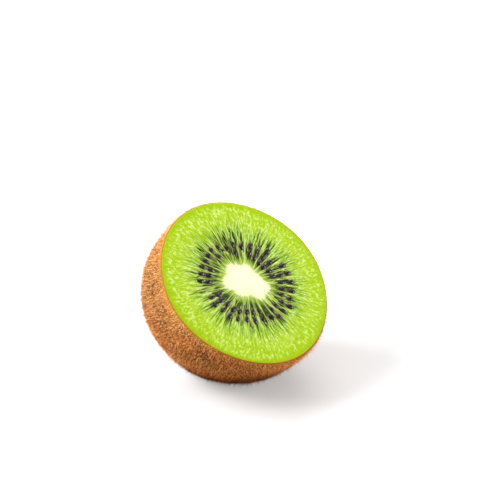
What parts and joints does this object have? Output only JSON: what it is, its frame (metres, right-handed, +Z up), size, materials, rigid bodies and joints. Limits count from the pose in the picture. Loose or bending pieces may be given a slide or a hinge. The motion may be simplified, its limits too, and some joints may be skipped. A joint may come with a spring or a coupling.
{
  "type": "kiwi fruit half",
  "caption": "Half of a kiwi fruit cut across the middle, lying on its downy brown skin with the green cut face turned up.",
  "frame": {"origin": "on the surface that the half lies on, under the middle of its bounding box", "axes": "+Z up, -Y towards the side that the cut face leans to, +X across the fruit"},
  "size_m": [0.0504, 0.0482, 0.0446],
  "materials": {
    "flesh": "wet, juicy",
    "core": "moist, finely fibrous",
    "skin": "dull, finely wrinkled",
    "seed": "glossy",
    "down": "short dry hairs"
  },
  "bodies": {
    "root": {"flesh": "flesh", "core": "core"}
  },
  "joints": []
}
